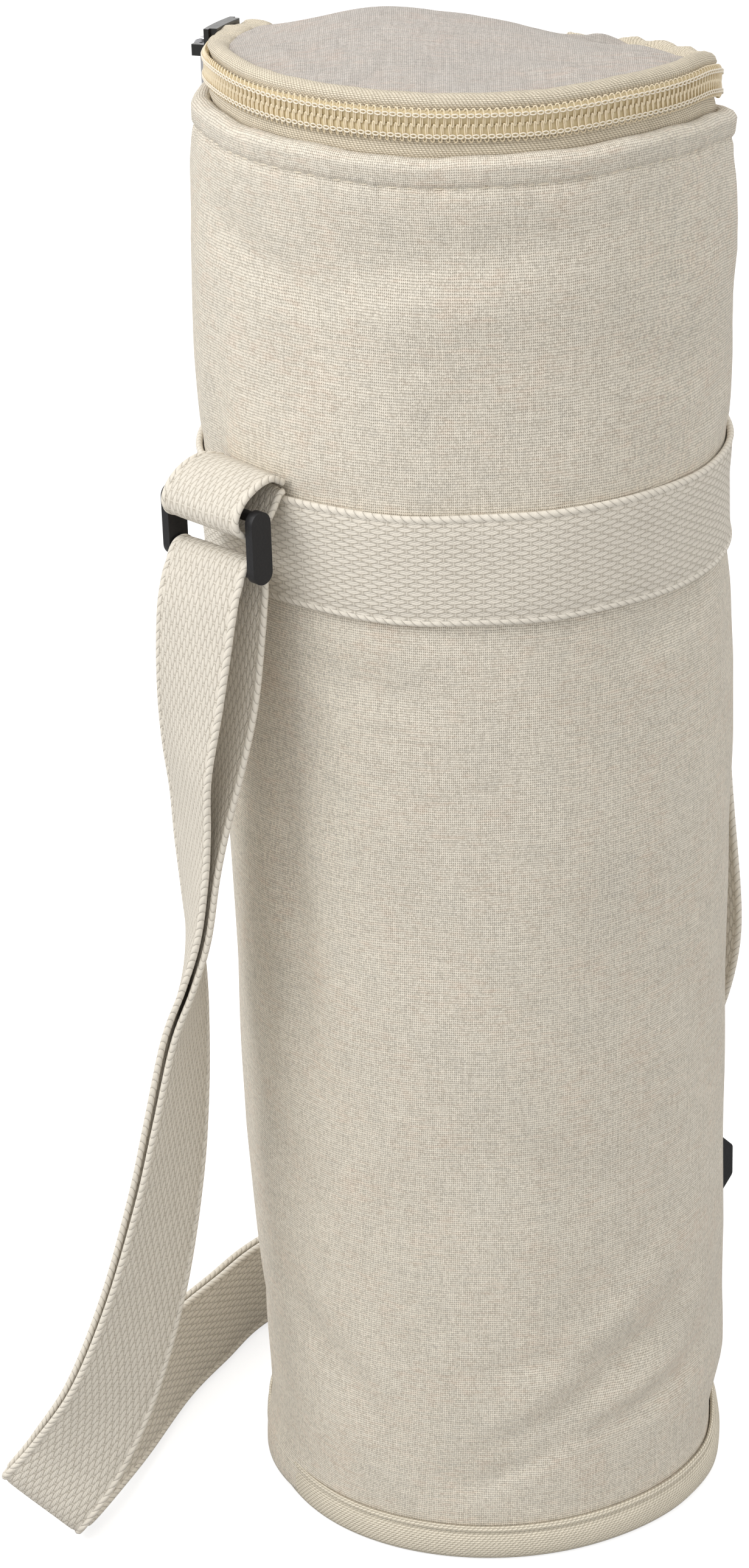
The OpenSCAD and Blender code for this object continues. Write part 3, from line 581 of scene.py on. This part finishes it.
# The foot's plate and its pad
base = {"plate": [(0.01, 1.45), (30, 1.45), (56.9, 1.5), (56.9, 2.4), (0.01, 2.4)],
        "pad": [(0.01, 2.55), (50.5, 2.55), (52.6, 3.4), (52.8, 5), (51.8, 6.6), (50, 7.1), (25, 7.0),
                (0.01, 6.9)]}
disc("baseCanvas", base["plate"], canvas, "canvas", "tube", "base_canvas")
basePad = disc("basePad", base["pad"], foil, "liner", "tube", "base_foam", "base_liner")
print("wall and base made")

# Tape bound round the foot, its upper edge a cord: distance out and height. Under the slumped canvas it
# is pressed flat.
binding = {"profile": [
    (0.15, 8.2), (0.5, 9.1), (1.2, 9.0), (1.55, 8.35), (1.3, 7.75), (0.75, 7.45), (1.4, 7.0), (1.75, 6.3),
    (2.05, 5), (2.2, 3), (1.95, 1.3), (1.2, 0.3), (-1, 0), (-6, 0), (-6, 1.25), (-0.2, 1.28), (0.1, 2),
    (0.1, 5)], "out": 0.1, "flatFrom": 0.2, "flat": 0.75}
out, z = np.array(binding["profile"]).T[:, :, None]
pressed = np.maximum(0, out - binding["flatFrom"]) * binding["flat"] * slump
points = wallPoint(full[None, :], z, binding["out"] + out - pressed)
made = dress(lathe("baseBinding", full, points), bindTape)
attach(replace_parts(made, "base_binding"), "tube")

# Shares of the webbing's half width and half thickness: a flat field, a groove and a cord at each edge
edgeShares = np.array([(-1, 0), (-0.985, 0.6), (-0.945, 0.98), (-0.9, 0.85), (-0.868, 0.5), (-0.845, 0.52),
                       (-0.8, 0.76), (-0.6, 0.86), (-0.25, 0.92)])
across = np.concatenate([edgeShares, (edgeShares * [-1, 1])[::-1], (edgeShares * [-1, -1])[1:],
                         (edgeShares * [1, -1])[:0:-1]]) * [web["width"] / 2, web["thick"] / 2]
acrossUv = np.append(across[:, 0], across[0, 0]) + web["width"] / 2

# The band round the tube, sunk a little in the canvas, its edges waving
band = {"sunk": 0.05, "waves": [(0.25, 5, 1), (0.12, 11, 0)], "uvOut": 1}
side, out = across.T[:, :, None]
points = wallPoint(full[None, :], web["top"] - web["width"] / 2 + side, web["thick"] / 2 - band["sunk"] + out,
                   waves(full, band["waves"]))
ring = np.append(full, 2 * np.pi) * (body["rim"] + band["uvOut"])
uv = spread(ring[None, :], acrossUv[:, None])
made = dress(surface("webbingBand", points, uv, closed=True, inward=True), webbing)
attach(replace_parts(made, "webbing_band"), "tube")

# The strap's route, in the source's shares: x and y of the radius, height, direction across, distance of
# the layers. After it come the adjuster, the ring, and the paths of the turns round their bars.
strap = {
    "hanging": [
        [-0.942, -0.742, 0.926, -0.69, 0.72, 0.03, 3.5], [-0.963, -0.757, 0.895, -0.69, 0.72, 0.05, 3.9],
        [-0.99, -0.76, 0.835, -0.61, 0.79, 0.09, 4], [-1.023, -0.743, 0.774, -0.47, 0.87, 0.12, 3.3],
        [-1.047, -0.723, 0.722, -0.39, 0.91, 0.11, 1.85], [-1.067, -0.71, 0.677, -0.33, 0.94, 0.09, 1.1],
        [-1.083, -0.693, 0.62, -0.19, 0.98, 0.08, 1], [-1.11, -0.68, 0.571, 0.01, 1, 0.04, 1],
        [-1.15, -0.673, 0.515, 0.25, 0.97, -0.05, 1], [-1.2, -0.69, 0.432, 0.44, 0.89, -0.12, 1],
        [-1.263, -0.713, 0.35, 0.57, 0.8, -0.17, 1], [-1.373, -0.743, 0.248, 0.7, 0.67, -0.26, 1],
        [-1.52, -0.777, 0.154, 0.78, 0.49, -0.38, 1.05], [-1.683, -0.81, 0.0865, 0.78, 0.19, -0.59, 1.15]],
    "lying": [
        [-1.815, -0.81, 0.46, 0.72, -0.03, -0.69, 1.15], [-1.642, -0.517, 0.55, 0.44, -0.13, -0.89, 1],
        [-1.517, -0.25, 0.55, 0.27, -0.08, -0.96, 1], [-1.353, 0.183, 0.535, 0.14, -0.05, -0.99, 1],
        [-1.193, 0.483, 0.535, 0.06, -0.03, -1, 1], [-1.005, 0.8, 0.535, 0, 0, -1, 1],
        [-0.6, 1.2, 0.535, 0, 0, -1, 1], [-0.167, 1.383, 0.535, 0, 0, -1, 1],
        [0.215, 1.362, 0.545, 0.05, -0.05, -1, 1], [0.515, 1.211, 0.65, 0.16, -0.21, -0.96, 1],
        [0.7, 1.047, 0.9, 0.37, -0.41, -0.84, 1], [0.807, 0.922, 1.15, 0.58, -0.67, -0.47, 1]],
    "climbing": [[0.935, 0.766, 0.515], [0.91, 0.737, 0.69], [0.862, 0.689, 0.83], [0.805, 0.667, 0.934],
                 [0.787, 0.661, 0.9985]],
    "pitch": 2.4, "steps": 12, "loopRows": 3, "lyingRows": 26,
    # The loose stretch above the adjuster stands a little off, to the front
    "looseOut": 3.2, "looseZ": 108, "looseWide": 30, "looseFrom": (80, 100),
    "adjuster": (50.52, 52.14, 50), "adjusterTurn": 40, "adjusterLong": 24,
    "uprightShares": [-0.62, -0.5, -0.2, 0.4, 1.2, 1.6],
    "ring": (-55.8, -43.998), "topBarZ": 264.08, "lowBarZ": 251.04, "bar": 2.4,
    "ringOut": [-0.71934, -0.694658, 0], "ringAcross": [-0.694658, 0.71934, 0], "foldUnder": 6,
    "loopTurn": [(1.62, -0.6), (1.22, 0.35), (0.52, 1), (-0.42, 1.02), (-1.1, 0.42), (-1.4, -0.55)],
    "endLayer": 1.2, "endBar": 3.5,
    "endTurn": [(0, -0.5), (0, -0.3), (0, -0.1), (0.03, 0.05), (0.25, 0.125), (0.5, 0.145), (0.8, 0.11),
                (1, 0.01), (0.9, -0.13), (0.62, -0.28), (0.38, -0.4), (0.37, -0.49)],
    "tabIn": 0.9,
    "tabTurn": [(-0.04, 2.18), (0.1, 2.49), (0.4, 2.87), (0.8, 2.53), (1.18, 1.53), (1.4, 0.13),
                (1.36, -1.07), (1.13, -1.69), (0.86, -1.69), (0.6, -1.07), (0.36, -0.07), (0.2, 0.73),
                (0.06, 1.24), (-0.04, 1.34)]}
adjuster = np.array(strap["adjuster"])
turned = np.radians(strap["adjusterTurn"])
adjusterOut = np.array([np.cos(turned), np.sin(turned), 0])
adjusterAcross = np.array([adjusterOut[1], -adjusterOut[0], 0])
flat, rest = [body["rim"], body["rim"]], [1, 1, 1, strap["pitch"]]
hanging = np.array(strap["hanging"]) * [*flat, web["top"], *rest]
lying = np.array(strap["lying"]) * [*flat, web["width"], *rest]
climbing = np.array(strap["climbing"]) * [*flat, web["top"] - web["width"]]
upright = adjuster + np.array(strap["uprightShares"])[:, None] * [0, 0, strap["adjusterLong"]]
upright = np.concatenate([upright, climbing])
upright = np.column_stack([upright, np.tile([*adjusterAcross, strap["pitch"]], (len(upright), 1))])
route = np.concatenate([hanging, lying, upright])


# A smooth curve through every row, with steps between each two
def smooth(p, steps):
    p = np.asarray(p, float)
    n = len(p) - 1
    at = np.arange(n * steps + 1) / steps
    i = np.minimum(at.astype(int), n - 1)
    u = (at - i)[:, None]
    a, b, c, d = p[np.maximum(i - 1, 0)], p[i], p[i + 1], p[np.minimum(i + 2, n)]
    cubic = (3 * b - 3 * c + d - a) * u ** 3 / 2
    return b + (c - a) * u / 2 + (2 * a - 5 * b + 4 * c - d) * u ** 2 / 2 + cubic


curve = smooth(route, strap["steps"])
cut, straight = strap["loopRows"] * strap["steps"], strap["lyingRows"] * strap["steps"]
loose = bell(curve[:, 2], strap["looseZ"], strap["looseWide"]) * between(curve[:, 2], strap["looseFrom"])
loose = (np.arange(len(curve)) > straight) * loose
curve[:, :3] += strap["looseOut"] * loose[:, None] * adjusterAcross
over = unit(curve[:, 3:6])
outward = unit(np.cross(over, unit(np.gradient(curve[:, :3], axis=0))))


# Stations of one layer of the strap, outer or inner, between two rows of its curve
def layer(side, first, last):
    part = slice(first, last + 1)
    return np.column_stack([curve[part, :3] + outward[part] * side * curve[part, 6:7] / 2, over[part]])


# Webbing along stations of a place and a direction across, its length counted from start, up or down
def ribbon(name, stations, start=0.0, count=1):
    centre, beside = stations[:, :3], unit(stations[:, 3:6])
    up = unit(np.cross(beside, unit(np.gradient(centre, axis=0))))
    points = centre[:, None] + beside[:, None] * across[:, 0, None] + up[:, None] * across[:, 1, None]
    along = start + count * np.append(0, np.cumsum(np.linalg.norm(np.diff(centre, axis=0), axis=1)))
    made = surface(name, points, spread(along[:, None], acrossUv[None, :]), caps=True)
    return dress(made, webbing), along[-1]


# Stations of a turn round a bar, from a place, its shares outwards and up in millimetres
def bent(place, shares, outwards, wide, high, beside):
    s, h = np.array(shares).T[:, :, None]
    points = np.array(place) + np.array(outwards) * s * wide + [0, 0, 1] * (h * high)
    return np.column_stack([points, np.broadcast_to(beside, points.shape)])


# The webbing's turn round the ring's lower bar, and the doubled stretch below it
lowBar = np.array([*strap["ring"], strap["lowBarZ"]])
turn = bent(lowBar, strap["loopTurn"], strap["ringOut"], strap["bar"], strap["bar"], strap["ringAcross"])
loopPath = np.concatenate([layer(1, 0, cut)[::-1], smooth(turn, 4), layer(-1, 0, cut)])
strapLoop, length = ribbon("strapLoop", loopPath)
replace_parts(strapLoop, "strap_loop")
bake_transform(strapLoop)

longRun, _ = ribbon("strapLongRun", layer(1, cut, len(curve) - 1), 0, -1)
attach(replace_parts(longRun, "strap_long_run"), "tube")
returnRun, length = ribbon("strapReturnRun", layer(-1, cut, straight), length)
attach(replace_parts(returnRun, "strap_return_run"), "tube")

# The webbing's end, sewn back on itself round the adjuster's bar
endWide = 2 * (strap["endBar"] - strap["endLayer"])
turn = bent(adjuster + adjusterOut * strap["endLayer"], strap["endTurn"], adjusterOut, endWide,
            strap["adjusterLong"], adjusterAcross)
strapEnd, _ = ribbon("strapEnd", smooth(turn, 5), length)
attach(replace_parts(strapEnd, "strap_end_loop"), "adjuster")

# The tab out of the band's top seam, round the ring's upper bar and back. Its direction across turns
# from the wall's at the seam to the ring's.
reach = np.linalg.norm(strap["ring"]) - coneR(web["top"]) - strap["tabIn"]
root = np.array([*strap["ring"], 0]) - np.array(strap["ringOut"]) * reach
rootAngle = np.arctan2(root[1], root[0])
tangent = np.array([np.sin(rootAngle), -np.cos(rootAngle), 0])
share = np.clip(2 * np.array(strap["tabTurn"])[:, :1], 0, 1)
turn = bent(root + [0, 0, strap["topBarZ"]], strap["tabTurn"], strap["ringOut"], reach, strap["bar"],
            tangent * (1 - share) + np.array(strap["ringAcross"]) * share)
tab, _ = ribbon("strapTab", smooth(turn, 6))
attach(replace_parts(tab, "strap_tab"), "tube")
print("strap made")

# The zip's tapes, as profiles of radius and height carried along its sweep
sweep = np.radians(np.linspace(zipper["start"], zipper["end"], 820))


def strip(name, profile, look, stands, angles=sweep, shape=None):
    r, z = np.array(profile, float).T
    wide, high = r[None, :], z[None, :]
    if shape:
        wide, high = shape(angles[:, None], wide, high)
    flat = np.append(0, np.cumsum(np.hypot(np.diff(r), np.diff(z))))
    flat = np.append(flat, flat[-1] + zipper["tape"])
    uv = spread(angles[:, None] * zipper["tapeR"], flat[None, :])
    points = ringPoint(angles[:, None], wide, high)
    made = dress(surface(name, points, uv, caps=True), look)
    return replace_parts(made, *stands)


# Profiles of the two tapes and the hinge, radius and height. The lower tape flares out over the rim.
tapes = {"lower": [(56.2, 331.2), (56.2, 339), (56.45, 341.4), (57, 343.3), (56.6, 345), (56.2, 346.4),
                   (56.2, 348.8), (55.6, 348.8), (55.6, 340), (55.6, 331.2)],
         "roll": [(56.15, 349.3), (56.2, 351), (56.6, 352.4), (57, 353.3), (56.6, 354.3), (55.5, 355),
                  (54, 355.2), (52.4, 354.9), (51, 354.1), (50.2, 353.3), (50, 352.7), (53, 352.5),
                  (55.2, 352.3), (55.6, 351), (55.6, 349.3)],
         "rollZ": (352.6, 353.8), "rollR": (57, 55), "bendZ": 352, "middleZ": 353.3,
         # Where the roll is wide and gathered: degrees and spread, and how much everywhere
         "wideAt": ((150, 26), (395, 30)), "wideAll": 0.12, "narrow": 0.52, "waveOut": 1.2,
         "waves": [(0.34, 0.7, 0), (0.12, 1.6, 1), (0.06, 5.3, 0)],
         "bumps": [(0.4, 0.52, 0), (0.16, 1.3, 2)],
         # Flatter beside the slider
         "flatAt": (160, 26), "flat": 0.8,
         "hingeSweep": (63.1, 116.9),
         "hinge": [(56.2, 331.2), (56.2, 345), (56.25, 348), (56.2, 349), (56.25, 350), (56.3, 352),
                   (56.1, 353.2), (54.8, 354), (52, 354.2), (50.4, 353.4), (50.4, 352.8), (54.9, 352.7),
                   (55.4, 351), (55.5, 349), (55.5, 331.2)]}
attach(strip("lowerTape", tapes["lower"], zipTape, ["lower_zip_tape"]), "tube")


def frontness(angle):
    return ease(0.55 - 0.9 * np.sin(angle))


# The upper tape rolls in over the lid's edge: narrow in front, wide and gathered at the two rear sides
def rolled(angle, r, z):
    deg = np.degrees(angle)
    most = sum(bell(deg, middle, wide) for middle, wide in tapes["wideAt"]) + tapes["wideAll"]
    inwards = (zipper["tapeR"] - r) * tapes["narrow"] * frontness(angle) * (r < zipper["tapeR"])
    top = between(z, tapes["rollZ"])
    out = most * waves(deg, tapes["waves"]) * tapes["waveOut"] * top * between(r, tapes["rollR"])
    low = tapes["flat"] * bell(deg, *tapes["flatAt"]) * (z - tapes["middleZ"])
    return r + inwards * (z > tapes["bendZ"]) + out, z + (most * waves(deg, tapes["bumps"]) - low) * top


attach(strip("upperTape", tapes["roll"], zipTape, ["upper_zip_tape"], shape=rolled), "lid")

# Each coil: a cord, one turn of filament a pitch that arches at the outer edge and runs in to a head,
# and a chain of stitch loops over it. x is along the zip, y in from the outer edge, z out.
coils = {
    "turn": [(-0.78, 0.8, 1.0), (-0.76, 0.4, 1.05), (-0.56, 0.08, 1.15), (-0.26, 0.04, 1.3),
             (-0.04, 0.3, 1.5), (0.0, 0.9, 1.74), (-0.06, 1.9, 1.72), (-0.12, 2.8, 1.66),
             (-0.12, 3.4, 1.6), (-0.02, 3.74, 1.5), (0.14, 3.74, 1.5), (0.24, 3.4, 1.56),
             (0.26, 2.6, 1.6), (0.26, 1.7, 1.5), (0.22, 1.0, 1.2)],
    "turnHalf": 0.15, "turnSides": 6,
    "stitch": [(-0.8, 1.32, 1.9), (-0.46, 1.05, 2.0), (0, 0.95, 2.02), (0.42, 1.08, 2.0),
               (0.54, 1.32, 1.96), (0.42, 1.56, 2.0), (0, 1.7, 2.02), (-0.46, 1.6, 2.0),
               (-0.8, 1.36, 1.92)],
    "stitchHalf": (0.18, 0.16), "stitchSides": 5, "stitchOffset": 0.42,
    "seatR": 56.3, "cordR": 57.12, "toothR": 57.4,
    "cord": [(0.42, 1.3), (0.3, 0.75), (0, 0.5), (-0.3, 0.75), (-0.42, 1.3), (-0.42, 2.6), (-0.3, 3.2),
             (0.05, 3.4), (0.3, 3.1), (0.42, 2.4)]}


# Places along the zip, and the directions there
def seats(low, high, offset, height, upward):
    count = int(np.radians(high - low) * coils["toothR"] / zipper["pitch"])
    at = np.radians(low) + (np.arange(count) + offset) * zipper["pitch"] / coils["toothR"]
    slope = np.gradient(sink(at, height), at) / coils["toothR"]
    return ringPoint(at, coils["seatR"], height), directions(at, slope, upward)


def coil(name, spans, height, upward, offset, node, rider):
    turns, loops = [], []
    for low, high in spans:
        place = seats(low, high, offset, height, upward)
        turns.append(tubes(coils["turn"], coils["turnHalf"], coils["turnSides"], *place))
        place = seats(low, high, offset + coils["stitchOffset"], height, upward)
        loops.append(tubes(coils["stitch"], coils["stitchHalf"], coils["stitchSides"], *place))
        angles = np.radians(np.linspace(low, high, int((high - low) * 1.5)))
        profile = [(coils["cordR"] + r, height + upward * y) for r, y in coils["cord"]]
        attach(strip(f"{name}Cord{int(low)}", profile[::upward], core, [node], angles), rider)
    for part, look, sets in (("Turns", nylon, turns), ("Stitches", thread, loops)):
        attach(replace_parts(dress(copies(name + part, sets), look), node), rider)


coil("lowerCoil", [(zipper["start"], zipper["end"])], zipper["low"], 1, 0.5, "lower_coil", "tube")
slider, skip = zipper["slider"], zipper["skip"]
parked = [(zipper["start"], slider - skip), (slider + skip, zipper["end"])]
coil("upperCoil", parked, zipper["low"] + 2 * zipper["coil"] + zipper["gap"], -1, 0.0, "upper_coil", "lid")
print("zip made")

# Canvas hinge at the back, across the fold
hinge = np.radians(np.linspace(*tapes["hingeSweep"], 80))
stands = ["hinge_strip_lower", "hinge_strip_upper"]
hingeStrip = strip("hingeCanvas", tapes["hinge"], canvas, stands, hinge)
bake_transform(hingeStrip)

# The lid's panel: a soft crown, highest left of the middle, with a hollow and folds at the right and
# gathers along its seam. Lines of folds in millimetres from the middle: ends, half width, height.
lid = {"frontEdge": 53.4, "rearEdge": 50.4, "base": 353.3, "crown": 8.6, "peak": (-16, 0), "left": 27,
       "right": 39, "front": 36, "rear": 26, "puff": 1.4,
       "folds": [(10, -34, 34, -42, 3, 0.7), (18, -28, 40, -36, 3, -0.6), (26, -22, 46, -26, 3, 0.7),
                 (30, -14, 47, -16, 2.5, -0.7), (34, -7, 49, -6, 3, 0.8), (20, 8, 44, 20, 5, -1.6),
                 (28, 22, 42, 32, 4, 1.2), (-20, -40, -2, -46, 3, 0.5), (-44, -14, -36, -30, 3, 0.6),
                 (-47, 0, -30, 2, 4, 0.7), (0, 30, 24, 36, 6, 0.8), (36, 4, 46, 10, 3, -0.8)],
       "gathers": [(0.22, 23, 1), (0.17, 41, 0), (0.12, 67, 2)], "gatherFrom": (0.62, 0.87),
       "gatherTo": (0.93, 1.0), "edgeShares": [0.925, 0.95, 0.97, 0.985, 0.996, 1.0, 0.996, 0.98],
       "edgeDown": [[0.15], [0.35]], "underR": [49, 40, 20, 0.01], "underZ": [352.95, 353.2, 353.4, 353.4],
       "pad": [(0.01, 349.85), (8, 349.85), (18, 349.9), (30, 349.9), (42, 349.85), (51, 349.85), (52.6, 350),
               (53.2, 351), (53, 352.2), (48.9, 352.4), (44, 353), (0.01, 353.3)]}
angle = half[None, :]
share = np.append(np.linspace(0.0002, 0.9, 64), lid["edgeShares"])[:, None]
r = share * (lid["rearEdge"] + (lid["frontEdge"] - lid["rearEdge"]) * frontness(angle))
x, y = r * np.cos(angle), r * np.sin(angle)
px, py = x - lid["peak"][0], y - lid["peak"][1]
px, py = px / np.where(px < 0, lid["left"], lid["right"]), py / np.where(py < 0, lid["front"], lid["rear"])
dome = lid["crown"] * np.exp(-px ** 2 - py ** 2) * (1 - share ** 4)
gathers = between(share, lid["gatherFrom"]) * (1 - between(share, lid["gatherTo"]))
relief = (ridges(x, y, lid["folds"]) + gathers * waves(angle, lid["gathers"])) * (1 - share ** 8)
rise = dome + lid["puff"] * (1 - share ** 6) + relief
rise[-2:] = -np.array(lid["edgeDown"])
points = ringPoint(angle, r, lid["base"]) + [0, 0, 1] * rise[..., None]
under = ringPoint(angle, np.array(lid["underR"])[:, None], np.array(lid["underZ"])[:, None])
points = np.concatenate([points, under])
uv = np.concatenate([points[..., :2], points[:, :1, :2]], 1)
made = dress(surface("lidCanvas", points, uv, inward=True), lidCanvas)
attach(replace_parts(made, "lid_canvas"), "lid")
lidPad = disc("lidPad", lid["pad"], foil, "liner", "lid", "lid_foam", "lid_liner")
print("lid made")

# The moulded pieces keep their CAD shapes, with their edges eased by a width in metres
moulded = {"strap_ring": (plastic, 0.0005), "strap_adjuster": (plastic, 0.0005),
           "zip_slider_body": (enamel, 0.0002), "zip_pull": (nickel, 0.00015)}
for name, (look, width) in moulded.items():
    node = nodes[name]
    node.data.materials.clear()
    node.data.materials.append(look)
    weld = node.modifiers.new("weld", "WELD")
    weld.merge_threshold = 0.00001
    soften = node.modifiers.new("bevel", "BEVEL")
    soften.width, soften.segments, soften.limit_method, soften.angle_limit = width, 2, "ANGLE", 0.7

# Floor, light and camera in metres and degrees, lens and sensor in millimetres. The camera stands
# 0.775 m in front of the axis and 0.518 m high, looking down 23.7 degrees.
studio = {"floor": [(-6, -4, 0), (6, -4, 0), (6, 8, 0), (-6, 8, 0)], "paint": ("#b4b4b4", "#b9b9b9"),
          "paintScale": 3, "floorSeen": 0.72, "air": (1, 0.99, 0.975, 1),
          "keyAt": (-0.66, -0.43, 0.88), "keyTo": (0, 0, 0.25), "keySize": 0.6, "keyPower": 4.1,
          "eye": (0, -0.7746, 0.5184), "down": 23.7, "slip": -1.83, "tilt": -1.88,
          "lens": 82.29, "sensor": 36}
mesh = bpy.data.meshes.new("floor")
mesh.from_pydata(studio["floor"], [], [(0, 1, 2, 3)])
floor = link("floor", mesh)
# Grey painted floor that throws little light up, white to the camera outside the soft shadow
paint, tree, shader = material("paint", Roughness=0.9, Specular_IOR_Level=0.1)
tint = noise(tree, put(tree, "TexCoord").outputs["Object"], studio["paintScale"], 2)
tint = mixed(tree, tint, *[color(text) for text in studio["paint"]])
seen = calc(tree, "MULTIPLY", put(tree, "LightPath").outputs["Is Camera Ray"], studio["floorSeen"])
supply(tree, shader, {"Base Color": tint, "Emission Color": (1, 1, 1, 1), "Emission Strength": seen})
mesh.materials.append(paint)

# Even light of the room, which is also the white behind
world = bpy.data.worlds.new("studio")
bpy.context.scene.world = world
world.use_nodes = True
world.node_tree.nodes["Background"].inputs[0].default_value = studio["air"]

# One soft lamp at the left
data = bpy.data.lights.new("key", "AREA")
data.shape, data.size, data.energy = "DISK", studio["keySize"], studio["keyPower"]
key = link("key", data)
key.location = studio["keyAt"]
key.rotation_mode = "QUATERNION"
key.rotation_quaternion = Vector(np.array(studio["keyTo"]) - studio["keyAt"]).to_track_quat("-Z", "Y")

down, slip, tilt = np.radians([studio["down"], studio["slip"], studio["tilt"]])
ahead = np.array([np.sin(slip) * np.cos(down), np.cos(slip) * np.cos(down), -np.sin(down)])
right = np.array([np.cos(slip), -np.sin(slip), 0])
above = np.cross(right, ahead)
sideways, upward = np.cos(tilt) * right + np.sin(tilt) * above, -np.sin(tilt) * right + np.cos(tilt) * above
camera = link("camera", bpy.data.cameras.new("camera"))
camera.data.lens, camera.data.sensor_width = studio["lens"], studio["sensor"]
facing = Matrix(np.column_stack([sideways, upward, -ahead]).tolist()).to_4x4()
camera.matrix_world = Matrix.Translation(studio["eye"]) @ facing
bpy.context.scene.camera = camera
bpy.context.scene.view_settings.view_transform = "Standard"
print("stage made")
